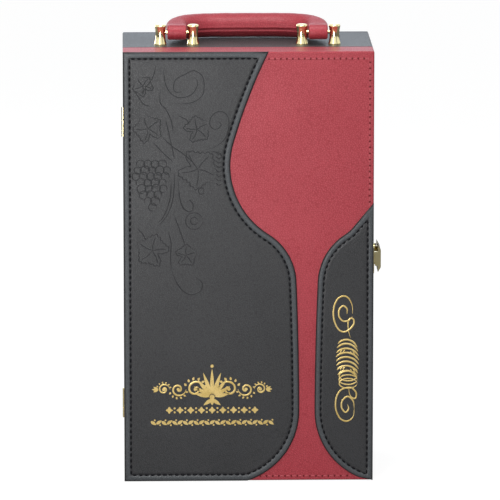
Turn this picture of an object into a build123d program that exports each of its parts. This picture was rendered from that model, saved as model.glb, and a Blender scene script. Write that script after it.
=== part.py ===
from build123d import *

import os

# A leather covered gift box for two wine bottles, standing upright, with its tool set in the door.
# Millimetres. X runs to the right, the door's front faces -Y and Z is up.
# The origin is the middle of the closed box's footprint, on the surface that the box stands on.

# Overall sizes of the closed box, over its leather
width = 200.0
height = 350.0
depth = 110.0
door_depth = 25.5
seam_gap = 0.6
corner_radius = 1.2

# Boards, leather and lining
leather = 1.0
base_sheet = 0.8
base_sheet_inset = 4.0
wall_board = 6.0
back_board = 3.0
face_board = 4.0
lining = 0.5

# The raised leather panels on the door leave a wine glass of the red leather between them
panel = 1.6
panel_edge_radius = 1.1
panel_border = 5.5
panel_groove = 0.9
panel_groove_depth = 0.5
glass_axis = 46.8
glass_waist = 6.2
glass_waist_level = 58.0
glass_foot_radius = 60.0
glass_foot_turn = 80.0
glass_stem_radius = 2260.0
glass_stem_turn = 2.6
glass_throat_radius = 48.0
glass_throat_turn = 55.0
glass_bowl_radius = 66.0
glass_bowl_turn = 73.5
glass_wall_radius = 450.0
glass_wall_turn = 9.0
right_panel_room = 256.0

# The bottle tray and its two bays
bottle_radius = 38.0
bottle_play = 1.0
bay_spacing = 91.2
bay_floor = 6.0
bay_body = 190.0
bay_shoulder = 50.0
bay_neck = 17.0
bay_top_wall = 6.0
bay_shoulder_radius = 30.0
bay_throat_radius = 18.0
tray_play = 0.4
tray_back_wall = 1.5
tray_lip = 6.5

# The carrying handle, folded back on the case top
handle_span = 113.2
handle_reach = 40.0
handle_corner = 23.0
handle_setback = 13.5
grip_radius = 9.8
grip_rest_gap = 0.3
loop_width = 15.1
loop_radius = 6.0
loop_neck = 6.0
handle_pin_radius = 1.5
running_play = 0.05
seat_play = 0.02

# The turned posts that carry the handle's pins, and the screws that hold them
post_spacing = 26.2
post_height = 16.5
post_base_radius = 4.9
post_waist_radius = 3.9
post_head_radius = 4.7
post_foot = 1.0
post_waist_level = 8.0
post_crown_radius = 1.5
post_screw_radius = 1.5
post_screw_depth = 6.0
post_screw_head_radius = 3.0

# The two butt hinges on the left of the seam
hinge_inset = 60.0
hinge_length = 24.0
hinge_barrel_radius = 1.1
hinge_axis_out = 0.1
hinge_pin_radius = 0.45
hinge_leaf_width = 6.5
hinge_side_play = 0.15
hinge_notch_play = 0.4
leaf_screw_spacing = 15.0
leaf_screw_radius = 0.8
leaf_screw_head_radius = 1.5

# The latch at mid height on the right of the seam
latch_height = 180.0
latch_plate = 1.0
latch_plate_length = 34.0
latch_base_width = 13.0
latch_axis_behind_seam = 12.5
latch_axis_out = 2.5
latch_pin_radius = 0.6
latch_barrel_radius = 1.2
latch_ear = 2.0
latch_ear_radius = 1.2
latch_ear_gap = 12.0
latch_play = 0.3
lever_out = 6.4
lever_thickness = 2.4
lever_height = 22.0
lever_crown = 13.6
lever_reach = 26.5
lever_tail = 1.5
hook_thickness = 3.0
hook_depth = 2.3
keeper_lug_thickness = 2.8
keeper_lug_height = 10.0
keeper_plate_length = 24.0
keeper_plate_width = 12.0

# The tool tray in the door, and the tools lying in it
tool_tray_recess = 2.0
tool_tray_floor = 1.7
tool_play = 0.3
tool_corner = 2.0
corkscrew_below_ring = 66.0
corkscrew_bar_length = 84.0
corkscrew_bar_radius = 8.0
corkscrew_bar_end_radius = 5.5
corkscrew_shank_radius = 2.6
corkscrew_shank_length = 32.0
worm_radius = 3.1
worm_wire_radius = 1.2
worm_pitch = 8.5
worm_turns = 5.0
side_tool_spacing = 116.0
side_tool_level = 150.0
plug_length = 32.0
plug_root_radius = 8.2
plug_tip_radius = 6.6
plug_rib = 0.9
plug_rib_height = 3.0
plug_ribs = 5
collar_radius = 9.4
collar_length = 4.0
spout_radius = 4.5
spout_bore = 3.2
spout_length = 44.0
spout_slant = 40.0
knob_radius = 9.2
knob_waist_radius = 4.0
knob_length = 30.0
ring_below_tray_top = 44.6
ring_bore = 16.0
ring_thickness = 12.0
finger_notch = 9.0

# Planes and walls that follow from the sizes above
front = -depth / 2
back = depth / 2
seam = front + door_depth
case_front = seam + seam_gap / 2
door_back = seam - seam_gap / 2
side = width / 2
low = base_sheet
board_side = side - leather
board_low = low + leather
board_high = height - leather
inside_side = board_side - wall_board
inside_low = board_low + wall_board
inside_high = board_high - wall_board
case_inside_back = back - leather - back_board
door_inside_front = front + leather + face_board


def save(made, label):
    """Labels a finished piece and writes its file."""
    made.part.label = label
    export_step(made.part, "parts/" + label + ".step")


def slab(x_low, x_high, y_low, y_high, z_low, z_high, mode=Mode.ADD):
    """Extrudes one rectangle between six planes, in the piece that is being built."""
    with BuildSketch(Plane.XY.offset(z_low)) as outline:
        with Locations(((x_low + x_high) / 2, (y_low + y_high) / 2)):
            Rectangle(x_high - x_low, y_high - y_low)
    extrude(outline.sketch, amount=z_high - z_low, mode=mode)


def board(label, x_low, x_high, y_low, y_high, z_low, z_high):
    """A plain sawn board or sheet between six planes."""
    with BuildPart() as sawn:
        slab(x_low, x_high, y_low, y_high, z_low, z_high)
    save(sawn, label)


def soft_edges(block):
    """The long edges and the front edges of a leather covered block, which are rounded."""
    return block.edges().filter_by(Axis.Y) + block.faces().sort_by(Axis.Y)[0].edges()


os.makedirs("parts", exist_ok=True)

hinge_x = -side - hinge_axis_out
hinge_levels = (hinge_inset, height - hinge_inset)
hinge_notch = hinge_barrel_radius + hinge_notch_play
leaf_inner = hinge_x + hinge_axis_out + hinge_leaf_width
leaf_middle = (leaf_inner - board_side) / 2
knuckle = hinge_length / 3


def hinge_room(leaf_low, leaf_high):
    """Cuts the seats of both hinge leaves and the room round their barrels."""
    for level in hinge_levels:
        z_low = level - hinge_length / 2 - hinge_side_play
        length = hinge_length + 2 * hinge_side_play
        slab(
            -side - corner_radius,
            leaf_inner + hinge_side_play,
            leaf_low,
            leaf_high,
            z_low,
            z_low + length,
            mode=Mode.SUBTRACT,
        )
        with BuildSketch(Plane.XY.offset(z_low)) as notch:
            with Locations((hinge_x, seam)):
                Circle(hinge_notch)
        extrude(notch.sketch, amount=length, mode=Mode.SUBTRACT)


post_x_inner = (handle_span - post_spacing) / 2
post_x_outer = (handle_span + post_spacing) / 2
post_places = {
    "left_outer": -post_x_outer,
    "left_inner": -post_x_inner,
    "right_inner": post_x_inner,
    "right_outer": post_x_outer,
}
pin_y = seam + handle_setback
pin_z = height + grip_radius + grip_rest_gap


def post_holes(z_low, z_high):
    """Drills the four holes for the handle posts' screws between two levels."""
    with BuildSketch(Plane.XY.offset(z_low)) as holes:
        with Locations([(x, pin_y) for x in post_places.values()]):
            Circle(post_screw_radius + running_play)
    extrude(holes.sketch, amount=z_high - z_low, mode=Mode.SUBTRACT)


# The case's five boards, butted and glued, the top one drilled for the handle's screws
board_front = case_front + leather

with BuildPart() as left_board:
    slab(-board_side, -inside_side, board_front, case_inside_back, board_low, board_high)
    hinge_room(case_front, board_front)
save(left_board, "case_left_board")

board("case_right_board", inside_side, board_side, board_front, case_inside_back, board_low, board_high)
board("case_bottom_board", -inside_side, inside_side, board_front, case_inside_back, board_low, inside_low)
board("case_back_board", -board_side, board_side, case_inside_back, back - leather, board_low, board_high)

with BuildPart() as top_board:
    slab(-inside_side, inside_side, board_front, case_inside_back, inside_high, board_high)
    with Locations(Plane(origin=(0, 0, inside_high), x_dir=(1, 0, 0), z_dir=(0, 0, -1))):
        with Locations([(x, -pin_y) for x in post_places.values()]):
            CounterSinkHole(
                radius=post_screw_radius + running_play,
                counter_sink_radius=post_screw_head_radius + running_play,
            )
save(top_board, "case_top_board")

# The case's black leather runs round the four walls and turns in over the front rim
with BuildPart() as case_wrap:
    slab(-side, side, case_front, back, low, height)
    fillet(soft_edges(case_wrap), radius=corner_radius)
    slab(-board_side, board_side, board_front, back, board_low, board_high, mode=Mode.SUBTRACT)
    slab(
        lining - inside_side,
        inside_side - lining,
        case_front,
        board_front,
        inside_low + lining,
        inside_high - lining,
        mode=Mode.SUBTRACT,
    )
    hinge_room(case_front, board_front)
    post_holes(board_high, height)
save(case_wrap, "case_wrap")

board("case_back_cover", -board_side, board_side, back - leather, back, board_low, board_high)
board(
    "case_base_cover",
    base_sheet_inset - side,
    side - base_sheet_inset,
    case_front + base_sheet_inset,
    back - base_sheet_inset,
    0,
    base_sheet,
)

# The velvet lining on the walls' inner faces, from the rim to the back board
with BuildPart() as case_lining:
    slab(-inside_side, inside_side, board_front, case_inside_back, inside_low, inside_high)
    slab(
        lining - inside_side,
        inside_side - lining,
        board_front,
        case_inside_back,
        inside_low + lining,
        inside_high - lining,
        mode=Mode.SUBTRACT,
    )
save(case_lining, "case_lining")

# The moulded bottle tray: each bay is the bottle's own form, open to the front
bay_radius = bottle_radius + bottle_play
bay_y = case_inside_back - tray_back_wall - bay_radius
tray_front = bay_y - tray_lip
tray_side = inside_side - lining - tray_play
tray_low = inside_low + lining
tray_high = inside_high - lining - tray_play
bay_low = tray_low + bay_floor
bay_body_top = bay_low + bay_body
bay_neck_low = bay_body_top + bay_shoulder
bay_high = tray_high - bay_top_wall

with BuildPart() as bottle_tray:
    slab(-tray_side, tray_side, tray_front, case_inside_back, tray_low, tray_high)
    for bay_x in (-bay_spacing / 2, bay_spacing / 2):
        bay_plane = Plane(origin=(bay_x, bay_y, 0), x_dir=(1, 0, 0), z_dir=(0, -1, 0))
        with BuildSketch(bay_plane) as bay_half:
            with BuildLine():
                Polyline(
                    (0, bay_low),
                    (bay_radius, bay_low),
                    (bay_radius, bay_body_top),
                    (bay_neck, bay_neck_low),
                    (bay_neck, bay_high),
                    (0, bay_high),
                    close=True,
                )
            make_face()
            shoulder = bay_half.vertices().sort_by_distance((bay_radius, bay_body_top))[0]
            fillet(shoulder, bay_shoulder_radius)
            throat_corner = bay_half.vertices().sort_by_distance((bay_neck, bay_neck_low))[0]
            fillet(throat_corner, bay_throat_radius)
        revolve(axis=Axis((bay_x, bay_y, 0), (0, 0, 1)), mode=Mode.SUBTRACT)
        with BuildSketch(bay_plane):
            add(bay_half.sketch_local)
            mirror(about=Plane.YZ)
        extrude(amount=tray_lip, mode=Mode.SUBTRACT)
save(bottle_tray, "bottle_tray")

# Four turned posts, waisted like a spool, with a rounded crown, cross drilled for the handle's pins
crown_level = post_height - post_crown_radius
for place, post_x in post_places.items():
    towards_loop = 1 if place in ("left_outer", "right_inner") else -1
    with BuildPart() as post:
        with BuildSketch(Plane(origin=(post_x, pin_y, height), x_dir=(1, 0, 0), z_dir=(0, -1, 0))):
            with BuildLine():
                Polyline((0, 0), (post_base_radius, 0), (post_base_radius, post_foot))
                ThreePointArc(
                    (post_base_radius, post_foot),
                    (post_waist_radius, post_waist_level),
                    (post_head_radius, crown_level),
                )
                JernArc(
                    start=(post_head_radius, crown_level),
                    tangent=(0, 1),
                    radius=post_crown_radius,
                    arc_size=90,
                )
                Polyline((post_head_radius - post_crown_radius, post_height), (0, post_height), (0, 0))
            make_face()
        revolve(axis=Axis((post_x, pin_y, 0), (0, 0, 1)))
        with BuildSketch(Plane.XY.offset(height)):
            with Locations((post_x, pin_y)):
                Circle(post_screw_radius + seat_play)
        extrude(amount=post_screw_depth, mode=Mode.SUBTRACT)
        with BuildSketch(Plane(origin=(post_x, pin_y, pin_z), z_dir=(towards_loop, 0, 0))):
            Circle(handle_pin_radius + seat_play)
        extrude(amount=post_base_radius, mode=Mode.SUBTRACT)
    save(post, "handle_post_" + place)

for place, sign in (("left", -1), ("right", 1)):
    pin_x = sign * handle_span / 2
    with BuildPart() as handle_pin:
        with BuildSketch(Plane(origin=(pin_x, pin_y, pin_z), z_dir=(1, 0, 0))):
            Circle(handle_pin_radius)
        extrude(amount=post_spacing / 2 - seat_play, both=True)
    save(handle_pin, "handle_pin_" + place)

# The four machine screws, their heads countersunk in the top board's inner face
with BuildPart() as post_screws:
    for post_x in post_places.values():
        with BuildSketch(Plane(origin=(post_x, pin_y, inside_high), x_dir=(1, 0, 0), z_dir=(0, -1, 0))):
            with BuildLine():
                Polyline(
                    (0, 0),
                    (post_screw_head_radius, 0),
                    (post_screw_radius, post_screw_head_radius - post_screw_radius),
                    (post_screw_radius, height - inside_high + post_screw_depth - seat_play),
                    (0, height - inside_high + post_screw_depth - seat_play),
                    close=True,
                )
            make_face()
        revolve(axis=Axis((post_x, pin_y, 0), (0, 0, 1)))
save(post_screws, "handle_post_screws")

# The handle's padded U, round in section, drawn in at both ends to the loops' width
grip_y = pin_y + handle_reach
neck_y = pin_y + loop_neck
bend_y = grip_y - handle_corner
arm_x = handle_span / 2
bend_x = arm_x - handle_corner

with BuildPart() as handle_grip:
    with BuildLine(Plane.XY.offset(pin_z)) as grip_path:
        RadiusArc((arm_x, bend_y), (bend_x, grip_y), -handle_corner)
        Line((bend_x, grip_y), (-bend_x, grip_y))
        RadiusArc((-bend_x, grip_y), (-arm_x, bend_y), -handle_corner)
    with BuildSketch(Plane(origin=(arm_x, bend_y, pin_z), x_dir=(1, 0, 0), z_dir=(0, 1, 0))):
        Circle(grip_radius)
    sweep(path=grip_path.wires()[0])
    for x in (-arm_x, arm_x):
        with BuildSketch(Plane(origin=(x, neck_y, pin_z), x_dir=(1, 0, 0), z_dir=(0, 1, 0))):
            RectangleRounded(loop_width, 2 * loop_radius, 0.6 * loop_radius)
        with BuildSketch(Plane(origin=(x, bend_y, pin_z), x_dir=(1, 0, 0), z_dir=(0, 1, 0))):
            Circle(grip_radius)
        loft()
save(handle_grip, "handle_grip")

for place, sign in (("left", -1), ("right", 1)):
    loop_x = sign * arm_x
    with BuildPart() as loop:
        with BuildSketch(Plane(origin=(loop_x, pin_y, pin_z), x_dir=(0, 1, 0), z_dir=(1, 0, 0))):
            Circle(loop_radius)
            with Locations((loop_neck / 2, 0)):
                Rectangle(loop_neck, 2 * loop_radius)
            Circle(handle_pin_radius + running_play, mode=Mode.SUBTRACT)
        extrude(amount=loop_width / 2, both=True)
    save(loop, "handle_loop_" + place)


def hinge_leaf(label, level, y_low, y_high, knuckles, outward):
    """One leaf of a butt hinge with its knuckles, drilled for the pin and countersunk for two screws."""
    with BuildPart() as leaf:
        slab(hinge_x, leaf_inner, y_low, y_high, level - hinge_length / 2, level + hinge_length / 2)
        with BuildSketch(Plane.XY.offset(level - hinge_length / 2)):
            with Locations((hinge_x, seam)):
                Circle(hinge_notch)
        extrude(amount=hinge_length, mode=Mode.SUBTRACT)
        for start, end in knuckles:
            with BuildSketch(Plane.XY.offset(level + start)):
                with Locations((hinge_x, seam)):
                    Circle(hinge_barrel_radius)
                middle_y = (y_low + y_high) / 2
                with Locations(((hinge_x + leaf_inner) / 2, middle_y)):
                    Rectangle(leaf_inner - hinge_x, y_high - y_low)
                with Locations((hinge_x, seam)):
                    Circle(hinge_pin_radius + running_play, mode=Mode.SUBTRACT)
            extrude(amount=end - start)
        face_y = y_low if outward < 0 else y_high
        with Locations(Plane(origin=(leaf_middle, face_y, level), x_dir=(1, 0, 0), z_dir=(0, outward, 0))):
            with GridLocations(1, leaf_screw_spacing, 1, 2):
                CounterSinkHole(radius=leaf_screw_radius, counter_sink_radius=leaf_screw_head_radius)
    save(leaf, label)


# Two butt hinges: the case's leaf holds the pin in two knuckles and the door's turns on it between them
for place, level in zip(("lower", "upper"), hinge_levels):
    outer = hinge_length / 2
    inner = knuckle / 2
    hinge_leaf(
        "hinge_case_leaf_" + place,
        level,
        case_front,
        board_front,
        ((-outer, -inner), (inner, outer)),
        -1,
    )
    hinge_leaf(
        "hinge_door_leaf_" + place,
        level,
        door_back - leather,
        door_back,
        ((hinge_side_play - inner, inner - hinge_side_play),),
        1,
    )
    with BuildPart() as hinge_pin:
        with BuildSketch(Plane.XY.offset(level - outer)):
            with Locations((hinge_x, seam)):
                Circle(hinge_pin_radius)
        extrude(amount=hinge_length)
    save(hinge_pin, "hinge_pin_" + place)

# The door's face board and its four rails
rail_front = door_inside_front
rail_back = door_back - leather

board("door_face_board", -board_side, board_side, front + leather, rail_front, board_low, board_high)
board("door_top_rail", -inside_side, inside_side, rail_front, rail_back, inside_high, board_high)
board("door_bottom_rail", -inside_side, inside_side, rail_front, rail_back, board_low, inside_low)
board("door_latch_rail", inside_side, board_side, rail_front, rail_back, board_low, board_high)

with BuildPart() as hinge_rail:
    slab(-board_side, -inside_side, rail_front, rail_back, board_low, board_high)
    hinge_room(rail_back, door_back)
save(hinge_rail, "door_hinge_rail")

# The door's red leather covers its front and edges and turns in over the rails
with BuildPart() as door_skin:
    slab(-side, side, front, door_back, low, height)
    fillet(soft_edges(door_skin), radius=corner_radius)
    slab(-board_side, board_side, front + leather, rail_back, board_low, board_high, mode=Mode.SUBTRACT)
    slab(-inside_side, inside_side, rail_back, door_back, inside_low, inside_high, mode=Mode.SUBTRACT)
    hinge_room(rail_back, door_back)
save(door_skin, "door_skin")

# The wine glass in the door's front: tangent arcs from its foot up the stem and round the bowl
with BuildSketch() as glass:
    with BuildLine():
        waist = (glass_waist, glass_waist_level)
        foot = JernArc(start=waist, tangent=(0, -1), radius=glass_foot_radius, arc_size=glass_foot_turn)
        stem = JernArc(start=waist, tangent=(0, 1), radius=glass_stem_radius, arc_size=-glass_stem_turn)
        throat = JernArc(
            start=stem @ 1, tangent=stem % 1, radius=glass_throat_radius, arc_size=-glass_throat_turn
        )
        bowl = JernArc(start=throat @ 1, tangent=throat % 1, radius=glass_bowl_radius, arc_size=glass_bowl_turn)
        wall = JernArc(start=bowl @ 1, tangent=bowl % 1, radius=glass_wall_radius, arc_size=glass_wall_turn)
        past_rim = (wall @ 1) + (wall % 1) * height
        Line(wall @ 1, past_rim)
        Polyline(past_rim, (0, past_rim.Y), (0, (foot @ 1).Y), foot @ 1)
    make_face()
    mirror(about=Plane.YZ)


def glass_panel(label, x_low, x_high, z_high):
    """A black leather panel on the door's front, cut away round the glass, with its stitched border."""
    with BuildSketch() as outline:
        with Locations(((x_low + x_high) / 2, (low + z_high) / 2)):
            Rectangle(x_high - x_low, z_high - low)
        with Locations((glass_axis, 0)):
            add(glass.sketch_local, mode=Mode.SUBTRACT)
    rest = outline.sketch_local.faces()
    with BuildPart() as raised:
        with BuildSketch(Plane.XZ.offset(-front)):
            add(rest)
        extrude(amount=panel)
        fillet(raised.faces().sort_by(Axis.Y)[0].edges(), radius=panel_edge_radius)
        with BuildSketch(Plane.XZ.offset(-front + panel)):
            add(offset(rest, amount=-panel_border, kind=Kind.INTERSECTION, mode=Mode.PRIVATE))
            inner = offset(rest, amount=-panel_border - panel_groove, kind=Kind.INTERSECTION, mode=Mode.PRIVATE)
            add(inner, mode=Mode.SUBTRACT)
        extrude(amount=-panel_groove_depth, mode=Mode.SUBTRACT)
    save(raised, label)


glass_panel("door_panel_left", -side, glass_axis, height)
glass_panel("door_panel_right", glass_axis, side, right_panel_room)

# The latch's base on the case: a plate with two ears that hold the lever's pin
latch_x = side + latch_axis_out
latch_y = seam + latch_axis_behind_seam
ear_low = latch_ear_gap / 2
ear_high = ear_low + latch_ear

with BuildPart() as latch_base:
    with BuildSketch(Plane(origin=(side, latch_y, latch_height), x_dir=(0, 1, 0), z_dir=(1, 0, 0))):
        RectangleRounded(latch_base_width, latch_plate_length, 0.25 * latch_base_width)
    extrude(amount=latch_plate)
    for start in (-ear_high, ear_low):
        with BuildSketch(Plane.XY.offset(latch_height + start)):
            with Locations((latch_x, latch_y)):
                Circle(latch_ear_radius)
            with Locations(((side + latch_x) / 2, latch_y)):
                Rectangle(latch_axis_out, 2 * latch_ear_radius)
            with Locations((latch_x, latch_y)):
                Circle(latch_pin_radius + seat_play, mode=Mode.SUBTRACT)
        extrude(amount=latch_ear)
    with Locations(Plane(origin=(side + latch_plate, latch_y, latch_height), x_dir=(0, 1, 0), z_dir=(1, 0, 0))):
        with GridLocations(1, latch_plate_length - 2 * ear_low + leaf_screw_head_radius, 1, 2):
            CounterSinkHole(radius=leaf_screw_radius, counter_sink_radius=leaf_screw_head_radius)
save(latch_base, "latch_base")

with BuildPart() as latch_pin:
    with BuildSketch(Plane(origin=(latch_x, latch_y, latch_height))):
        Circle(latch_pin_radius)
    extrude(amount=ear_high, both=True)
save(latch_pin, "latch_pin")

# The lever: a bevelled bar over the seam, with a barrel at its pin and a hook behind the keeper's lug
lever_inner = side + lever_out - lever_thickness
lever_front = latch_y - lever_reach
hook_face = lever_front + hook_thickness
barrel_half = ear_low - latch_play

with BuildPart() as latch_lever:
    with BuildSketch(Plane(origin=(0, latch_y + lever_tail, latch_height), x_dir=(1, 0, 0), z_dir=(0, -1, 0))):
        with BuildLine():
            Polyline(
                (lever_inner, -lever_height / 2),
                (side + lever_out, -lever_crown / 2),
                (side + lever_out, lever_crown / 2),
                (lever_inner, lever_height / 2),
                close=True,
            )
        make_face()
    extrude(amount=lever_reach + lever_tail)
    crown = latch_lever.faces().sort_by(Axis.X)[-1].edges()
    fillet(crown, radius=latch_play)
    with BuildSketch(Plane.XY.offset(latch_height - barrel_half)):
        with Locations((latch_x, latch_y)):
            Circle(latch_barrel_radius)
        with Locations(((latch_x + lever_inner) / 2, latch_y - latch_barrel_radius / 2 + lever_tail / 2)):
            Rectangle(lever_inner - latch_x, latch_barrel_radius + lever_tail)
        with Locations((latch_x, latch_y)):
            Circle(latch_pin_radius + running_play, mode=Mode.SUBTRACT)
    extrude(amount=2 * barrel_half)
    slab(
        lever_inner - hook_depth,
        lever_inner,
        lever_front,
        hook_face,
        latch_height - barrel_half,
        latch_height + barrel_half,
    )
save(latch_lever, "latch_lever")

# The keeper on the door's edge, its lug standing just behind the lever's hook
lug_low = hook_face + latch_play
lug_top = lever_inner - 4 * latch_play

with BuildPart() as latch_keeper:
    plate_y = lug_low + keeper_lug_thickness / 2
    with BuildSketch(Plane(origin=(side, plate_y, latch_height), x_dir=(0, 1, 0), z_dir=(1, 0, 0))):
        RectangleRounded(keeper_plate_width, keeper_plate_length, 0.25 * keeper_plate_width)
    extrude(amount=latch_plate)
    slab(
        side + latch_plate,
        lug_top,
        lug_low,
        lug_low + keeper_lug_thickness,
        latch_height - keeper_lug_height / 2,
        latch_height + keeper_lug_height / 2,
    )
    with Locations(Plane(origin=(side + latch_plate, plate_y, latch_height), x_dir=(0, 1, 0), z_dir=(1, 0, 0))):
        with GridLocations(1, keeper_plate_length - keeper_lug_height / 2, 1, 2):
            CounterSinkHole(radius=leaf_screw_radius, counter_sink_radius=leaf_screw_head_radius)
save(latch_keeper, "latch_keeper")

# Where the tools lie in the door: on a common axis plane, sunk just under the tray's face
tool_side = inside_side - tray_play
tool_low = inside_low + tray_play
tool_high = inside_high - tray_play
ring_level = tool_high - ring_below_tray_top
corkscrew_level = ring_level - corkscrew_below_ring
tool_face = door_back - tool_tray_recess
pocket_floor = rail_front + tool_tray_floor
shaft_y = pocket_floor + tool_play + collar_radius
bar_y = pocket_floor + tool_play + corkscrew_bar_radius
side_tool_x = side_tool_spacing / 2
worm_length = worm_pitch * worm_turns
worm_top = corkscrew_level - corkscrew_shank_length
plug_high = side_tool_level + plug_length
collar_high = plug_high + collar_length


def lying_plane(x, y):
    """The plane through a tool's axis, with its width across and its length up."""
    return Plane(origin=(x, y, 0), x_dir=(1, 0, 0), z_dir=(0, -1, 0))


def ribbed_plug(label, x):
    """The tapered rubber plug of the pourer or the stopper, finned to seal in a bottle's mouth."""
    rib_pitch = plug_length / (plug_ribs + 1)
    taper = (plug_root_radius - plug_tip_radius) / plug_length
    with BuildPart() as plug:
        with BuildSketch(lying_plane(x, shaft_y)):
            with BuildLine():
                Polyline(
                    (0, side_tool_level),
                    (plug_tip_radius, side_tool_level),
                    (plug_root_radius, plug_high),
                    (0, plug_high),
                    close=True,
                )
            make_face()
            for rib in range(1, plug_ribs + 1):
                rib_level = rib * rib_pitch
                with Locations((plug_tip_radius + taper * rib_level, side_tool_level + rib_level)):
                    Polygon((-plug_rib, -plug_rib_height), (plug_rib, 0), (-plug_rib, 0), align=None)
        revolve(axis=Axis((x, shaft_y, 0), (0, 0, 1)))
    save(plug, label)


# The pourer: a rubber plug, a collar and a slant cut spout, bored through
ribbed_plug("pourer_plug", -side_tool_x)

with BuildPart() as pourer_spout:
    with BuildSketch(lying_plane(-side_tool_x, shaft_y)):
        with BuildLine():
            Polyline(
                (spout_bore, plug_high),
                (collar_radius, plug_high),
                (collar_radius, collar_high - 1),
                (collar_radius - 1, collar_high),
                (spout_radius + 1, collar_high),
                (spout_radius, collar_high + 3),
                (spout_radius, collar_high + spout_length),
                (spout_bore, collar_high + spout_length),
                close=True,
            )
        make_face()
    revolve(axis=Axis((-side_tool_x, shaft_y, 0), (0, 0, 1)))
    slant = Plane(origin=(-side_tool_x, shaft_y, collar_high + spout_length - spout_radius))
    split(bisect_by=slant.rotated((spout_slant, 0, 0)), keep=Keep.BOTTOM)
save(pourer_spout, "pourer_spout")

# The stopper: the same plug under a round knob on a tapered neck
ribbed_plug("stopper_plug", side_tool_x)
knob_centre = collar_high + knob_length - knob_radius
knob_seat = knob_centre - (knob_radius**2 - knob_waist_radius**2) ** 0.5

with BuildPart() as stopper_knob:
    with BuildSketch(lying_plane(side_tool_x, shaft_y)):
        with BuildLine():
            Polyline(
                (0, plug_high),
                (collar_radius, plug_high),
                (collar_radius, collar_high),
                (knob_waist_radius + 1, collar_high),
            )
            Line((knob_waist_radius + 1, collar_high), (knob_waist_radius, knob_seat))
            ThreePointArc(
                (knob_waist_radius, knob_seat),
                (knob_radius, knob_centre),
                (0, knob_centre + knob_radius),
            )
            Line((0, knob_centre + knob_radius), (0, plug_high))
        make_face()
    revolve(axis=Axis((side_tool_x, shaft_y, 0), (0, 0, 1)))
save(stopper_knob, "stopper_knob")

# The drip ring, a half round band that slips over a bottle's neck
ring_y = pocket_floor + tool_play + ring_thickness / 2
ring_radius = ring_bore + ring_thickness / 2

with BuildPart() as drip_ring:
    with BuildSketch(Plane(origin=(0, ring_y, ring_level), x_dir=(1, 0, 0), z_dir=(0, 0, 1))):
        with BuildLine():
            Line((ring_bore, ring_thickness / 2), (ring_bore, -ring_thickness / 2))
            ThreePointArc(
                (ring_bore, -ring_thickness / 2),
                (ring_radius, 0),
                (ring_bore, ring_thickness / 2),
            )
        make_face()
    revolve(axis=Axis((0, ring_y, ring_level), (0, 1, 0)))
save(drip_ring, "drip_ring")

# The corkscrew: a turned bar across the top, with the shank and the open worm under it
with BuildPart() as corkscrew_bar:
    half_bar = corkscrew_bar_length / 2
    with BuildSketch(Plane(origin=(0, bar_y, corkscrew_level), x_dir=(1, 0, 0), z_dir=(0, -1, 0))):
        with BuildLine():
            Polyline((half_bar, 0), (-half_bar, 0), (-half_bar, corkscrew_bar_end_radius))
            ThreePointArc(
                (-half_bar, corkscrew_bar_end_radius),
                (0, corkscrew_bar_radius),
                (half_bar, corkscrew_bar_end_radius),
            )
            Line((half_bar, corkscrew_bar_end_radius), (half_bar, 0))
        make_face()
    revolve(axis=Axis((0, bar_y, corkscrew_level), (1, 0, 0)))
    fillet(corkscrew_bar.edges().filter_by(GeomType.CIRCLE), radius=tool_corner)
    with BuildSketch(Plane(origin=(0, bar_y, corkscrew_level))):
        Circle(corkscrew_shank_radius + seat_play)
    extrude(amount=-corkscrew_bar_radius - 1, mode=Mode.SUBTRACT)
save(corkscrew_bar, "corkscrew_bar")

with BuildPart() as corkscrew_worm:
    with BuildSketch(Plane(origin=(0, bar_y, worm_top))):
        Circle(corkscrew_shank_radius)
    extrude(amount=corkscrew_shank_length - seat_play)
    with BuildSketch(Plane(origin=(0, bar_y, worm_top))):
        Circle(worm_radius + worm_wire_radius)
    extrude(amount=2 * worm_wire_radius)
    chamfer(corkscrew_worm.faces().sort_by(Axis.Z)[0].edges(), length=worm_wire_radius / 2)
    turns = Helix(
        pitch=worm_pitch,
        height=worm_length,
        radius=worm_radius,
        center=(0, bar_y, worm_top + worm_wire_radius),
        direction=(0, 0, -1),
        mode=Mode.PRIVATE,
    )
    with BuildSketch(Plane(origin=turns @ 0, z_dir=turns % 0)):
        Circle(worm_wire_radius)
    sweep(path=turns, is_frenet=True)
save(corkscrew_worm, "corkscrew_worm")

# The foam tool tray fills the door behind its face board, pocketed to each tool's own outline
with BuildPart() as tool_tray:
    slab(-tool_side, tool_side, rail_front, tool_face, tool_low, tool_high)
    with BuildSketch(Plane(origin=(0, pocket_floor, 0), x_dir=(-1, 0, 0), z_dir=(0, 1, 0))):
        with Locations((0, corkscrew_level)):
            RectangleRounded(
                corkscrew_bar_length + 2 * tool_play,
                2 * corkscrew_bar_radius + 2 * tool_play,
                tool_corner,
            )
        worm_low = worm_top + worm_wire_radius - worm_length - 2 * worm_wire_radius
        with Locations((0, (corkscrew_level + worm_low) / 2)):
            RectangleRounded(
                2 * (worm_radius + worm_wire_radius + tool_play),
                corkscrew_level - worm_low + 2 * tool_play,
                tool_corner,
            )
        with Locations((0, ring_level)):
            Circle(ring_radius + tool_play)
        with Locations((0, ring_level - ring_radius), (0, ring_level + ring_radius)):
            Circle(finger_notch)
        for x in (-side_tool_x, side_tool_x):
            length = plug_length + collar_length + (spout_length if x < 0 else knob_length)
            with Locations((-x, side_tool_level + length / 2)):
                RectangleRounded(
                    2 * (collar_radius + tool_play),
                    length + 2 * tool_play,
                    tool_corner,
                )
            with Locations((-x, plug_high)):
                SlotOverall(4 * finger_notch, 2 * finger_notch)
    extrude(amount=tool_face - pocket_floor, mode=Mode.SUBTRACT)
save(tool_tray, "door_tool_tray")
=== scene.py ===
import math

import bpy
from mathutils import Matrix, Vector, noise


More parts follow.
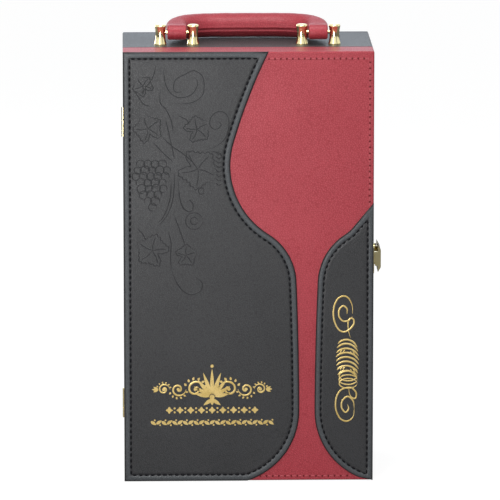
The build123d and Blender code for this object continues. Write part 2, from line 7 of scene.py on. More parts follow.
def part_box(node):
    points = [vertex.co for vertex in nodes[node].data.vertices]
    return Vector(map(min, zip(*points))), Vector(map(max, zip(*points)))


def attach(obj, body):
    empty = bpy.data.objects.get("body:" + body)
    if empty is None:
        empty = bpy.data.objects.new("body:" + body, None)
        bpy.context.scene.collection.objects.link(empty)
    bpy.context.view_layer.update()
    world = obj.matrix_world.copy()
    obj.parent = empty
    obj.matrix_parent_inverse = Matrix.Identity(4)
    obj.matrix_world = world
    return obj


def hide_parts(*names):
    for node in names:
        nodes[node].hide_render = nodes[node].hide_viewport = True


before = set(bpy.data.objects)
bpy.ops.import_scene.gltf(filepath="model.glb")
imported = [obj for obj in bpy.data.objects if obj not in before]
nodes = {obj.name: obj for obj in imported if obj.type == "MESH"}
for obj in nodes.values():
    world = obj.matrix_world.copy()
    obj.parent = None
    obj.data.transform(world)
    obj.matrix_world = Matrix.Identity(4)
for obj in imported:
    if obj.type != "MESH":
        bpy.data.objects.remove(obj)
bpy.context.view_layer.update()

# The camera stands a little to the left and looks down on the box from well in front of it, as for a
# catalogue picture taken with a long lens.
camera_place = (-0.096, -4.056, 0.949)
camera_down = 10.74
camera_right = 1.39
camera_lens = 367.0

bpy.ops.object.select_all(action="DESELECT")
bpy.ops.object.camera_add(
    location=camera_place,
    rotation=(math.radians(90 - camera_down), 0, math.radians(-camera_right)),
)
camera = bpy.context.object
camera.name = "camera"
camera.data.lens = camera_lens
camera.data.clip_end = 30
bpy.context.scene.camera = camera
bpy.context.scene.view_settings.view_transform = "Standard"

# The floor is a sheet of pale studio paper that runs back out of sight, with the object's own soft shadow
# on it. The picture's background is plain white, so the paper and the room show as white to the camera.
floor_size = 16.0
paper_white = (0.9, 0.9, 0.9)
paper_warm = (0.9, 0.9, 0.891)
paper_bounce = (0.35, 0.35, 0.35)
paper_share = 0.8
paper_glow = 1.14


class Wire:
    """One output of a node in a material, with Python's operators for the maths done on it."""

    def __init__(self, tree, socket=None):
        self.tree = tree
        self.socket = socket

    def add(self, kind, settings=None, sockets=None, output=0):
        """Adds a node: its settings first, then the values or links of its sockets."""
        node = self.tree.nodes.new(kind)
        for name, setting in (settings or {}).items():
            setattr(node, name, setting)
        for name, value in (sockets or {}).items():
            if isinstance(value, Wire):
                self.tree.links.new(value.socket, node.inputs[name])
            else:
                node.inputs[name].default_value = value
        return Wire(self.tree, node.outputs[output] if node.outputs else None)

    def maths(self, operation, *values):
        return self.add("ShaderNodeMath", {"operation": operation}, dict(enumerate(values)))

    def __add__(self, other):
        return self.maths("ADD", self, other)

    __radd__ = __add__

    def __sub__(self, other):
        return self.maths("SUBTRACT", self, other)

    def __rsub__(self, other):
        return self.maths("SUBTRACT", other, self)

    def __mul__(self, other):
        return self.maths("MULTIPLY", self, other)

    __rmul__ = __mul__

    def ramp(self, low, high, low_value=0.0, high_value=1.0):
        """Goes smoothly from one value to another as this one goes from low to high."""
        return self.add(
            "ShaderNodeMapRange",
            {"interpolation_type": "SMOOTHSTEP"},
            {"Value": self, "From Min": low, "From Max": high, "To Min": low_value, "To Max": high_value},
        )

    def tint(self, *tones):
        """Mixes two colours by this value."""
        first, second = ((*tone, 1) if isinstance(tone, tuple) else tone for tone in tones)
        return self.add("ShaderNodeMix", {"data_type": "RGBA"}, {0: self, 6: first, 7: second}, output=2)

    def noise(self, scale, detail=2.0, output=0, **sockets):
        """Cloudy noise over this place."""
        sockets = {"Vector": self, "Scale": scale, "Detail": detail, **sockets}
        return self.add("ShaderNodeTexNoise", {}, sockets, output)

    def bump(self, strength, distance):
        """The normals of a surface that is raised by this height."""
        return self.add("ShaderNodeBump", {}, {"Strength": strength, "Distance": distance, "Height": self})

    def part(self, axis):
        """This place's measure along one axis."""
        return self.add("ShaderNodeSeparateXYZ", {}, {0: self}, axis)


def new_material(name):
    """An empty material, with the wire of a place on the piece to start its nodes from."""
    material = bpy.data.materials.new(name)
    material.use_nodes = True
    material.node_tree.nodes.clear()
    return material, Wire(material.node_tree).add("ShaderNodeTexCoord", output="Object")


def close_material(wire, sockets, kind="ShaderNodeBsdfPrincipled"):
    """Links the last shader to the material's output."""
    wire.add("ShaderNodeOutputMaterial", {}, {"Surface": wire.add(kind, {}, sockets)})


bpy.ops.mesh.primitive_plane_add(size=floor_size, location=(0, 0, 0))
floor = bpy.context.object
floor.name = "floor"
paper, place = new_material("studio_paper")
seen = place.add("ShaderNodeLightPath", output="Is Camera Ray")
shown = place.noise(2.5, 6.0).tint(paper_white, paper_warm)
sheet = place.add("ShaderNodeBsdfDiffuse", {}, {"Color": seen.tint(paper_bounce, shown)})
white = place.add("ShaderNodeEmission", {}, {"Color": (1, 1, 1, 1), "Strength": paper_glow})
close_material(place, {0: seen * paper_share, 1: sheet, 2: white}, "ShaderNodeMixShader")
floor.data.materials.append(paper)

# The room is an even white tent with five lamps behind diffusers. Polished metal sees it brightly, with a
# narrow dark flag that stands to the right of the camera, and everything else is lit by it softly.
tent_fill = 0.42
tent_white = (0.93, 0.97, 1.02)
tent_soft = (0.96, 0.98, 1, 1)
flag_side = 0.72
flag_width = 0.05
flag_dark = 0.06

world = bpy.data.worlds.new("studio")
bpy.context.scene.world = world
world.use_nodes = True
world.node_tree.nodes.clear()
direction = Wire(world.node_tree).add("ShaderNodeTexCoord", output="Generated")
beside = direction.part(0) - flag_side
flag = beside.maths("ABSOLUTE", beside).ramp(flag_width, 1.6 * flag_width)
rear_half = direction.part(1).ramp(-0.1, 0.1)
height = direction.part(2).ramp(-0.5, 0.3, 0.55, 1.0)
tent = (flag.maths("MAXIMUM", flag, rear_half) * (1 - flag_dark) + flag_dark) * height
bright = direction.add("ShaderNodeBackground", {}, {"Color": tent.tint((0, 0, 0), tent_white)})
plain = direction.add("ShaderNodeBackground", {}, {"Color": (1, 1, 1, 1)})
soft = direction.add("ShaderNodeBackground", {}, {"Color": tent_soft, "Strength": tent_fill})
glossy = direction.add("ShaderNodeLightPath", output="Is Glossy Ray")
seen = direction.add("ShaderNodeLightPath", output="Is Camera Ray")
mirrored = direction.add("ShaderNodeMixShader", {}, {0: glossy, 1: soft, 2: bright})
shown = direction.add("ShaderNodeMixShader", {}, {0: seen, 1: mirrored, 2: plain})
direction.add("ShaderNodeOutputWorld", {}, {"Surface": shown})


def softbox(name, place, aim, size, power, tone=(1, 1, 1)):
    """A square studio lamp with a diffuser, turned to a point."""
    bpy.ops.object.light_add(type="AREA", location=place)
    lamp = bpy.context.object
    lamp.name = name
    lamp.rotation_euler = (Vector(aim) - Vector(place)).to_track_quat("-Z", "Y").to_euler()
    lamp.data.shape = "SQUARE"
    lamp.data.size = size
    lamp.data.energy = power
    lamp.data.color = tone


softbox("key_lamp", (-0.35, -0.95, 0.62), (0, -0.05, 0.28), 0.45, 1.7)
softbox("low_lamp", (-0.14, -0.68, 0.235), (-0.04, -0.05, 0.33), 0.2, 1.9)
softbox("top_lamp", (0, -0.3, 1.1), (0, -0.03, 0.34), 0.4, 4.6)
softbox("back_lamp", (-0.1, 1.5, 0.75), (0, 0, 0.35), 0.8, 1.1, (0.62, 0.8, 1))
softbox("rear_lamp", (-1.1, 1.2, 0.45), (0, 0.05, 0.18), 0.6, 7.0)

# The boards are medium density fibreboard, sawn and glued. Nearly all of them lie under the leather, and
# only their edges could show in a gap.
board_deep = (0.33, 0.22, 0.13)
board_pale = (0.5, 0.37, 0.23)

fibreboard, place = new_material("fibreboard")
fibre = place.noise(900.0, 5.0, Roughness=0.7)
pale = (fibre * 0.7 + place.noise(30.0, 3.0) * 0.3).ramp(0.3, 0.7)
close_material(
    place,
    {
        "Base Color": pale.tint(board_deep, board_pale),
        "Roughness": pale.ramp(0, 1, 0.95, 0.82),
        "Normal": fibre.bump(0.4, 0.0002),
    },
)


def finish_nodes(material, names):
    """Gives a finish to CAD pieces whose shape is already right."""
    for name in names:
        nodes[name].data.materials.clear()
        nodes[name].data.materials.append(material)


finish_nodes(fibreboard, [name for name in nodes if name.endswith(("_board", "_rail"))])

# The leather is a coated split hide with a fine pebble grain pressed into it: black on the case and on
# the raised panels, wine red on the door and the handle. Every piece of it is glued over its board.
black_deep = (0.020, 0.020, 0.021)
black_high = (0.041, 0.041, 0.043)
fold_width = 0.0011
fold_dark_and_gap_shadow = (0.006, 0.006, 0.007)
red_deep = (0.305, 0.024, 0.035)
red_high = (0.435, 0.051, 0.068)
grain_drift = (0.0016, 0.0016, 0.0016)


def near_faces(place, node, width):
    """For each axis, 1 within a width of a box-shaped piece's outer faces and 0 further in."""
    near = []
    for axis, (low, high) in enumerate(zip(*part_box(node))):
        off = place.part(axis) - (low + high) / 2
        half = (high - low) / 2
        near.append(off.maths("ABSOLUTE", off).ramp(half - width, half - 0.4 * width))
    return near


def leather(name, deep, high, grain, depth, gloss, sheen, edge_paint_and_painted_light=None, folded=None):
    """A grained hide: pebbles, pores and slow clouding, with a panel's edge paint, painted shade and painted
    highlight, or a node's dark folds, partly painted shadow of a gap.
    """
    material, place = new_material(name)
    drift = place.noise(0.35 * grain, output=1)
    shift = {0: drift, 1: grain_drift, 2: place}
    shifted = place.add("ShaderNodeVectorMath", {"operation": "MULTIPLY_ADD"}, shift)
    cells = {"Vector": shifted, "Scale": grain}
    pebble = place.add("ShaderNodeTexVoronoi", {"feature": "DISTANCE_TO_EDGE"}, cells)
    pore = place.noise(3.1 * grain, 4.0, Roughness=0.6)
    cloud = place.noise(16.0, 4.0, Roughness=0.55)
    rounded = pebble.ramp(0.0, 0.22)
    tone = (rounded * 0.45 + pore * 0.3 + cloud * 0.5).ramp(0.25, 1.0)
    colour = tone.tint(deep, high)
    if edge_paint_and_painted_light:
        edge_paint_and_shade, rim_highlight_deep, rim_highlight_high = edge_paint_and_painted_light
        # A panel's stored value sets its colour. Below 0.5 it goes towards the near black of the real edge
        # paint, which also serves as painted shade on the roll's turned-down side, in the seam's channel and
        # in the vine's lines. Above 0.5 it goes towards a lighter painted highlight on the roll's crown.
        painted_light_and_edge_paint = place.add("ShaderNodeAttribute", {"attribute_name": "painted_light_and_edge_paint"}, output=2)
        colour = painted_light_and_edge_paint.ramp(0.5, 0.95).tint(colour, tone.tint(rim_highlight_deep, rim_highlight_high))
        colour = painted_light_and_edge_paint.ramp(0.0, 0.5).tint(edge_paint_and_shade, colour)
    # A dark colour on every fold of the piece. Along the case's front edge, by the door, this band is also
    # painted shadow of the gap between door and case.
    if folded:
        across, deepwise, up = near_faces(place, folded, fold_width)
        colour = (across * deepwise + deepwise * up + up * across).tint(colour, fold_dark_and_gap_shadow)
    close_material(
        place,
        {
            "Base Color": colour,
            "Roughness": (rounded * 0.5 + cloud * 0.5).ramp(0.1, 0.9, gloss + 0.1, gloss - 0.05),
            "Normal": (rounded * 0.7 + pore * 0.45).bump(0.55, depth),
            "Specular IOR Level": 0.34,
            "Sheen Weight": sheen,
            "Sheen Roughness": 0.45,
        },
    )
    return material


black_hide = (black_deep, black_high, 820.0, 0.00011, 0.40, 0.05)
cover_hide = (black_deep, black_high, 640.0, 0.00016, 0.44, 0.05)
# The panel's black edge paint, also used as painted shade, and the two tones of the painted highlight on the
# roll's crown.
panel_edge_paint_and_painted_light = ((0.004, 0.004, 0.005), (0.045, 0.049, 0.053), (0.080, 0.086, 0.092))
black_leather = leather("black_leather", *black_hide)
panel_leather = leather("panel_leather", *black_hide, edge_paint_and_painted_light=panel_edge_paint_and_painted_light)
red_leather = leather("red_leather", red_deep, red_high, 600.0, 0.00015, 0.42, 0.08)
finish_nodes(black_leather, ("case_base_cover",))
finish_nodes(leather("case_leather", *black_hide, folded="case_wrap"), ("case_wrap",))
finish_nodes(leather("cover_leather", *cover_hide, folded="case_back_cover"), ("case_back_cover",))
finish_nodes(red_leather, ("door_skin",))

# The lining is a card covered in short black velvet pile, glued to the case's walls behind the rim.
velvet_deep = (0.008, 0.008, 0.009)
velvet_high = (0.035, 0.035, 0.039)

velvet, place = new_material("velvet")
pile = place.noise(2600.0)
nap = (pile * 0.45 + place.noise(26.0, 5.0, Distortion=0.8) * 0.75).ramp(0.3, 0.9)
close_material(
    place,
    {
        "Base Color": nap.tint(velvet_deep, velvet_high),
        "Roughness": nap.ramp(0, 1, 1.0, 0.86),
        "Normal": pile.bump(0.6, 0.0003),
        "Specular IOR Level": 0.1,
        "Sheen Weight": 0.6,
        "Sheen Roughness": 0.35,
        "Sheen Tint": (0.75, 0.75, 0.8, 1),
    },
)
finish_nodes(velvet, ("case_lining",))

# The bottle tray and the door's tool tray are firm moulded foam, flocked with the same velvet. Foam has no
# sharp edges: every rim and pocket edge is rounded by the mould and by the pile on it.
foam_voxel = 0.0022
foam_rounding = 5
weld_gap = 0.00001


def select_alone(piece):
    """Makes one piece the only one that is selected."""
    bpy.ops.object.select_all(action="DESELECT")
    bpy.context.view_layer.objects.active = piece
    piece.select_set(True)


def copied(original, name):
    """A copy of an object with a mesh of its own, the only one selected."""
    piece = original.copy()
    piece.data = original.data.copy()
    piece.name = name
    bpy.context.collection.objects.link(piece)
    select_alone(piece)
    return piece


def node_copy(node, name):
    """A copy of a CAD piece as one connected mesh, ready to be worked on."""
    piece = copied(nodes[node], name)
    piece.parent = None
    piece.matrix_world.identity()
    bpy.ops.object.mode_set(mode="EDIT")
    bpy.ops.mesh.select_all(action="SELECT")
    bpy.ops.mesh.remove_doubles(threshold=weld_gap)
    bpy.ops.mesh.tris_convert_to_quads()
    bpy.ops.mesh.customdata_custom_splitnormals_clear()
    bpy.ops.object.mode_set(mode="OBJECT")
    return piece


def apply_modifier(piece, kind, **settings):
    """Adds one modifier to a piece and applies it."""
    bpy.context.view_layer.objects.active = piece
    modifier = piece.modifiers.new(kind.lower(), kind)
    for name, setting in settings.items():
        setattr(modifier, name, setting)
    bpy.ops.object.modifier_apply(modifier=modifier.name)


def place_piece(piece, body, material):
    """Finishes a piece: its material and the body it moves with."""
    piece.data.materials.clear()
    piece.data.materials.append(material)
    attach(piece, body)


for node, body in (("bottle_tray", "case"), ("door_tool_tray", "door")):
    tray = node_copy(node, node + "_foam")
    apply_modifier(tray, "REMESH", mode="VOXEL", voxel_size=foam_voxel, use_smooth_shade=True)
    apply_modifier(tray, "SMOOTH", factor=0.5, iterations=foam_rounding)
    place_piece(tray, body, velvet)
    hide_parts(node)

# The posts, pins, hinges and latch are turned, stamped and folded brass, polished and gold plated, with
# fine polishing marks round them and a duller tone where hands and cloths have rubbed.
gold_pure = (0.97, 0.84, 0.46)
gold_rubbed = (0.86, 0.70, 0.33)


def metal(name, pure, rubbed, gloss, marks):
    """A plated metal with fine marks along its length, soft smudges and a slight ripple."""
    material, place = new_material(name)
    line = place.add("ShaderNodeMapping", {}, {"Vector": place, "Scale": marks}).noise(400.0, 3.0)
    worn = (place.noise(120.0, 4.0) * 0.7 + line * 0.3).ramp(0.4, 0.75)
    close_material(
        place,
        {
            "Base Color": worn.tint(pure, rubbed),
            "Metallic": 1.0,
            "Roughness": worn.ramp(0, 1, gloss, gloss + 0.12),
            "Normal": (line * 0.25 + place.noise(260.0, 1.0)).bump(0.25, 0.00005),
        },
    )
    return material


gold = metal("gold_plate", gold_pure, gold_rubbed, 0.09, (1.0, 1.0, 9.0))
fittings = ("handle_post_", "handle_pin_", "hinge_", "latch_")
finish_nodes(gold, [name for name in nodes if name.startswith(fittings)])
steel = metal("bright_steel", (0.62, 0.62, 0.63), (0.45, 0.45, 0.46), 0.28, (1.0, 1.0, 6.0))
finish_nodes(steel, ("handle_post_screws",))

# The small countersunk screws that hold the hinge leaves, the latch's base and its keeper: each a gold
# plated head with a cut slot, lying in its countersink.
screw_radius = 0.00145
screw_depth = 0.0007
slot_width = 0.00042
slot_depth = 0.0004
edge_bevel = 0.00008
hinge_screw_step = 0.0075
leaf_middle = 0.00275
latch_screw_step = 0.01175
keeper_screw_step = 0.0095
latch_plate = 0.001
hair = 0.00002
first_turn = 20
turn_step = 37


def screw_head():
    """Models one screw head about the origin, its slotted face towards +Z at the origin's level."""
    bpy.ops.object.select_all(action="DESELECT")
    bpy.ops.mesh.primitive_cone_add(
        vertices=28,
        radius1=0.45 * screw_radius,
        radius2=screw_radius,
        depth=screw_depth,
        location=(0, 0, -screw_depth / 2),
    )
    head = bpy.context.object
    bpy.ops.object.transform_apply()
    bpy.ops.mesh.primitive_cube_add(size=1, scale=(3 * screw_radius, slot_width, 2 * slot_depth))
    cutter = bpy.context.object
    bpy.ops.object.transform_apply()
    apply_modifier(head, "BEVEL", width=edge_bevel, segments=2, limit_method="ANGLE")
    apply_modifier(head, "BOOLEAN", operation="DIFFERENCE", object=cutter, solver="EXACT")
    bpy.data.objects.remove(cutter)
    return head


def place_screw(pattern, name, point, facing, turn, body):
    """Sets a copy of the screw at a point, facing a direction, its slot turned by some degrees."""
    screw = copied(pattern, name)
    screw.rotation_euler = (0, 0, math.radians(turn))
    bpy.ops.object.transform_apply()
    screw.rotation_euler = Vector(facing).to_track_quat("Z", "Y").to_euler()
    screw.location = point
    bpy.ops.object.transform_apply()
    place_piece(screw, body, gold)


screws = []
for level in ("lower", "upper"):
    for side, facing in (("case", -1), ("door", 1)):
        low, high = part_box("hinge_" + side + "_leaf_" + level)
        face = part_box("case_wrap")[0].y - hair if facing < 0 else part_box("door_skin")[1].y + hair
        for end, step in (("_low", -hinge_screw_step), ("_high", hinge_screw_step)):
            point = (high.x - leaf_middle, face, (low.z + high.z) / 2 + step)
            screws.append(("hinge_screw_" + side + "_" + level + end, point, (0, facing, 0), side))
latch_plates = (("latch_base", latch_screw_step, "case"), ("latch_keeper", keeper_screw_step, "door"))
for node, step, body in latch_plates:
    low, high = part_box(node)
    for end, sign in (("_low", -1), ("_high", 1)):
        point = (low.x + latch_plate + hair, (low.y + high.y) / 2, (low.z + high.z) / 2 + sign * step)
        screws.append((node + "_screw" + end, point, (1, 0, 0), body))
pattern = screw_head()
for number, (name, point, facing, body) in enumerate(screws):
    place_screw(pattern, name, point, facing, first_turn + turn_step * number, body)
bpy.data.objects.remove(pattern)

# The two raised panels on the door are black leather folded over soft card: a rounded roll runs round the
# edge, a seam is sewn down inside it, and the field within is flat. Between them shows the red wine glass.
roll = {"left": 0.0053, "right": 0.0048}
seam_step = 0.00485
seam_reach = 0.0016
pucker = 0.00022
pucker_shade = 0.12
slack = 0.00006
# From the panel's edge inwards: how far in, how high, and the value that colours it there: 0 for the black
# edge paint, which is also painted shade on the roll's turned-down side, lower values for painted shade in
# the seam's channel, and 1 for a painted highlight on the roll's crown
rim_profile = (
    (0.0, 0.0, 0.0),
    (0.00002, 0.0006, 0.0),
    (0.0002, 0.0011, 0.05),
    (0.0006, 0.00148, 0.2),
    (0.0012, 0.00172, 0.75),
    (0.0020, 0.00186, 1.0),
    (0.0030, 0.00190, 1.0),
    (0.0038, 0.00182, 0.95),
    (0.0045, 0.00160, 0.75),
    (0.0050, 0.00128, 0.45),
    (0.0053, 0.00112, 0.3),
    (0.0056, 0.00122, 0.3),
    (0.0061, 0.00142, 0.38),
    (0.0068, 0.00154, 0.5),
    (0.0076, 0.00158, 0.5),
)
glass_axis = 0.0468
glass_waist = (0.0062, 0.058)
glass_foot = (0.060, 80.0)
glass_rise = ((2.260, -2.6), (0.048, -55.0), (0.066, 73.5), (0.450, 9.0))
glass_rim_steps = 80
bowl_lift = 0.0037
bowl_reach = (0.10, 0.16)
rim_flare = 0.003
rim_reach = (0.036, 0.050)
path_step = 0.00125
field_inset = rim_profile[-1][0]
panel_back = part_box("door_skin")[0].y


def eased(value, low, high):
    """0 below a low value, 1 above a high one, and smooth between them."""
    share = min(1.0, max(0.0, (value - low) / (high - low)))
    return share * share * (3 - 2 * share)


def glass_side(offset):
    """The glass's outline from foot to rim, moved out from the glass by an offset: (width, height) points."""
    foot_radius, foot_turn = glass_foot
    x, z = glass_waist
    points = []
    steps = round(foot_radius * math.radians(foot_turn) / path_step)
    for step in range(steps, 0, -1):
        turned = math.radians(foot_turn) * step / steps
        reach = foot_radius - offset
        points.append((x + foot_radius - reach * math.cos(turned), z - reach * math.sin(turned)))
    heading = math.pi / 2
    for radius, degrees in glass_rise:
        bend = math.radians(degrees)
        side = 1 if bend > 0 else -1
        centre = (x - side * radius * math.sin(heading), z + side * radius * math.cos(heading))
        steps = max(2, round(radius * abs(bend) / path_step))
        for step in range(steps):
            angle = heading + bend * step / steps
            reach = side * radius + offset
            points.append((centre[0] + reach * math.sin(angle), centre[1] - reach * math.cos(angle)))
        heading += bend
        x = centre[0] + side * radius * math.sin(heading)
        z = centre[1] - side * radius * math.cos(heading)
    for step in range(glass_rim_steps):
        reach = step * path_step
        out, up = reach * math.cos(heading), reach * math.sin(heading)
        points.append((x + out + offset * math.sin(heading), z + up - offset * math.cos(heading)))
    return [(x, z + bowl_lift * eased(z, *bowl_reach)) for x, z in points]


def between(first, second, share):
    """The point that lies a share of the way from one point to another."""
    return tuple(a + (b - a) * share for a, b in zip(first, second))


def spread(line, step, offset):
    """Evenly spread (x, z, angle) places along a line, the first one some part of a step from its start."""
    lengths = [0.0]
    for first, second in zip(line, line[1:]):
        lengths.append(lengths[-1] + math.dist(first, second))
    count = max(2, round(lengths[-1] / step))
    places = []
    index = 0
    for number in range(count):
        target = lengths[-1] * (number + offset) / count
        while index < len(line) - 2 and lengths[index + 1] < target:
            index += 1
        share = (target - lengths[index]) / max(1e-9, lengths[index + 1] - lengths[index])
        (x1, z1), (x2, z2) = line[index], line[index + 1]
        places.append((*between(line[index], line[index + 1], share), math.atan2(z2 - z1, x2 - x1)))
    return places


def clipped(points, axis, low, high):
    """The stretch of an outline that lies between two values along an axis, with exact ends."""
    kept = [points[0]] if low < points[0][axis] < high else []
    for first, second in zip(points, points[1:]):
        for level in (low, high):
            if (first[axis] - level) * (second[axis] - level) < 0:
                kept.append(between(first, second, (level - first[axis]) / (second[axis] - first[axis])))
        if low < second[axis] < high:
            kept.append(second)
    return kept


def panel_legs(side, inset):
    """The straight and curved legs of a panel's outline, moved in by an inset, in one turning direction."""
    low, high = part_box("door_panel_" + side)
    bottom, top = low.z + inset, high.z - inset
    curve = glass_side(inset)
    if side == "left":
        outer = low.x + inset
        edge = [(glass_axis - x, z) for x, z in clipped(curve, 1, bottom, top)]
        low_corner, high_corner = (outer, bottom), (outer, top)
        return [[edge[0], low_corner], [low_corner, high_corner], [high_corner, edge[-1]], edge[::-1]]
    outer = high.x - inset
    edge = clipped(clipped(curve, 1, bottom, high.z), 0, -1.0, outer - glass_axis)
    lifts = [rim_flare * eased(x, *rim_reach) if z > bowl_reach[0] else 0.0 for x, z in edge]
    edge = [(glass_axis + x, z + lift) for (x, z), lift in zip(edge, lifts)]
    if outer - edge[0][0] < path_step:
        return [edge, [edge[-1], edge[0]]]
    return [edge, [edge[-1], (outer, bottom)], [(outer, bottom), edge[0]]]


def closed_path(legs):
    """One closed row of evenly spaced points along the legs, its corners kept."""
    path = []
    for leg in legs:
        path += [(x, z) for x, z, angle in spread(leg, path_step, 0)]
    return path


def outward(path):
    """The outward direction at each point of a closed path, lengthened at the corners."""
    area = sum(x1 * z2 - x2 * z1 for (x1, z1), (x2, z2) in zip(path, path[1:] + path[:1]))
    sense = 1 if area > 0 else -1
    found = []
    for before, here, after in zip(path[-1:] + path[:-1], path, path[1:] + path[:1]):
        first = Vector((here[1] - before[1], before[0] - here[0])).normalized() * sense
        second = Vector((after[1] - here[1], here[0] - after[0])).normalized() * sense
        found.append((first + second) / (1 + first.dot(second)))
    return found


def mesh_piece(name, points, faces, smooth=True):
    """A new piece from its points and faces."""
    mesh = bpy.data.meshes.new(name)
    mesh.from_pydata(points, [], faces)
    mesh.update()
    piece = bpy.data.objects.new(name, mesh)
    bpy.context.collection.objects.link(piece)
    for polygon in mesh.polygons:
        polygon.use_smooth = smooth
    return piece


def tube_faces(rings, count):
    """The faces of a tube of closed rings, and of its two flat ends."""
    faces = []
    for start in range(0, (rings - 1) * count, count):
        for index in range(count):
            here, after = start + index, start + (index + 1) % count
            faces.append((here, after, after + count, here + count))
    last = (rings - 1) * count
    return faces + [tuple(range(count - 1, -1, -1)), tuple(range(last, last + count))]


def face_outwards(piece):
    """Turns every face of a closed piece outwards."""
    select_alone(piece)
    bpy.ops.object.mode_set(mode="EDIT")
    bpy.ops.mesh.select_all(action="SELECT")
    bpy.ops.mesh.normals_make_consistent(inside=False)
    bpy.ops.object.mode_set(mode="OBJECT")


def tone_points(piece, values):
    """Stores a value at each point for the material to read: how dark the edge paint and painted shade are
    there, or how light the painted highlight is.
    """
    layer = piece.data.attributes.new("painted_light_and_edge_paint", "FLOAT", "POINT")
    for point, value in zip(layer.data, values):
        point.value = value


def rim_lines(side):
    """The rim's inner line round a panel, its outward directions, and the line of the stitches."""
    path = closed_path(panel_legs(side, field_inset))
    away = outward(path)
    seam = [Vector(spot) + direction * (field_inset - roll[side]) for spot, direction in zip(path, away)]
    return path, away, seam


def raised_panel(side):
    """Sweeps the rolled rim's profile round the panel, puckered at each stitch, and closes the flat field."""
    path, away, seam = rim_lines(side)
    length = sum((second - first).length for first, second in zip(seam, seam[1:] + seam[:1]))
    step = length / round(length / seam_step)
    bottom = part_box("door_panel_" + side)[0].z
    points = []
    tones = []
    for inset, height, tone in rim_profile:
        inset += min(inset, roll["left"]) * (roll[side] / roll["left"] - 1)
        near_seam = max(0.0, 1 - abs(inset - roll[side]) / seam_reach)
        run = 0.0
        for index, (spot, direction) in enumerate(zip(path, away)):
            place = Vector(spot) + direction * (field_inset - inset)
            gather = near_seam * math.cos(2 * math.pi * run / step)
            ripple = slack * noise.noise(Vector((place.x * 90, place.y * 90, inset * 500)))
            rise = height + pucker * gather + ripple * min(1, height * 900)
            points.append((place.x, panel_back - rise, max(place.y, bottom + inset)))
            # Painted shade and painted light that follow the puckers along the seam.
            tones.append(max(0.0, tone + pucker_shade * gather))
            run += (seam[(index + 1) % len(seam)] - seam[index]).length
    panel = mesh_piece("panel_leather_" + side, points, tube_faces(len(rim_profile), len(path)))
    tone_points(panel, tones)
    face_outwards(panel)
    for polygon in panel.data.polygons:
        polygon.use_smooth = len(polygon.vertices) == 4
    place_piece(panel, "door", panel_leather)
    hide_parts("door_panel_" + side)


raised_panel("left")
raised_panel("right")

# The panels' seams are sewn in waxed black thread: each stitch comes up through one hole, lies tight in
# the seam's channel and goes down at the next.
thread_twist = 700.0
thread_deep = (0.002, 0.002, 0.003)
thread_high = (0.009, 0.009, 0.011)
black_stitch = (0.0036, 0.0016, 0.0010)
black_stitch_rise = 0.00138
stitch_arch = 0.00022


def thread(name, deep, high, shine):
    """A twisted, waxed sewing thread."""
    material, place = new_material(name)
    turns = {"Vector": place, "Scale": thread_twist}
    strand = place.add("ShaderNodeTexWave", {"bands_direction": "DIAGONAL"}, turns)
    fuzz = place.noise(3000.0)
    tone = (strand * 0.6 + fuzz * 0.4).ramp(0.1, 0.9)
    close_material(
        place,
        {
            "Base Color": tone.tint(deep, high),
            "Roughness": tone.ramp(0, 1, 0.75, 0.5),
            "Normal": (strand + fuzz * 0.4).bump(0.5, 0.0001),
            "Specular IOR Level": shine,
        },
    )
    return material


def stitch_form():
    """One stitch about the origin, along X, as (points, faces): a slim lens of thread."""
    bpy.ops.object.select_all(action="DESELECT")
    bpy.ops.mesh.primitive_uv_sphere_add(segments=8, ring_count=7, radius=0.5)
    form = bpy.context.object
    bpy.ops.transform.rotate(value=math.radians(90), orient_axis="Y", center_override=(0, 0, 0))
    bpy.ops.object.transform_apply()
    points = [vertex.co.copy() for vertex in form.data.vertices]
    faces = [tuple(polygon.vertices) for polygon in form.data.polygons]
    bpy.data.objects.remove(form)
    return points, faces


def sew(name, places, size, level, material):
    """Lays stitches of a size at (x, z, angle) places on the door's front, as one row of thread."""
    points = []
    faces = []
    for x, z, angle in places:
        start = len(points)
        cosine, sine = math.cos(angle), math.sin(angle)
        for spot in form_points:
            along, across = spot.x * size[0], spot.y * size[1]
            depth = level + spot.z * size[2] + stitch_arch * (2 * spot.x) ** 2
            points.append((x + along * cosine - across * sine, depth, z + along * sine + across * cosine))
        faces += [tuple(start + index for index in face) for face in form_faces]
    row = mesh_piece(name, points, faces)
    face_outwards(row)
    place_piece(row, "door", material)


form_points, form_faces = stitch_form()
black_thread = thread("black_thread", thread_deep, thread_high, 0.12)
channel = panel_back - black_stitch_rise
for side in ("left", "right"):
    seam = [tuple(spot) for spot in rim_lines(side)[2]]
    places = spread(seam + seam[:1], seam_step, 0.5)
    sew("panel_seam_" + side, places, black_stitch, channel, black_thread)

# The door's skin is sewn along its free edges in a red thread a shade lighter than the leather, each stitch
# drawn down at its ends, where small flat dark red discs lie on the leather as painted shade of the dimpled
# needle holes.
red_stitch_inset_top = 0.0058
red_stitch_inset_side = 0.0034
red_stitch_inset_low = 0.0036
red_stitch = (0.0038, 0.00125, 0.0006)
hole_size = (0.0023, 0.0019, 0.00016)
corner_gap = 0.003
foot_gap = 0.002
tip_gap = 0.001
red_thread_deep = (0.35, 0.055, 0.065)
red_thread_high = (0.50, 0.100, 0.115)
hole_shade_deep = (0.10, 0.005, 0.008)
hole_shade_high = (0.18, 0.010, 0.014)

red_thread = thread("red_thread", red_thread_deep, red_thread_high, 0.35)
# Painted shade: the dark red of the dimples round the needle holes, on flat discs.
needle_hole_shade, place = new_material("needle_hole_shade")
pit = place.noise(2000.0)
close_material(place, {"Base Color": pit.tint(hole_shade_deep, hole_shade_high), "Roughness": pit.ramp(0, 1, 0.8, 1.0)})


def edge_of_glass(level):
    """How far the glass reaches from its axis at a level."""
    crossing = clipped(glass_side(0.0), 1, level - 0.0001, level + 0.0001)
    return crossing[0][0]


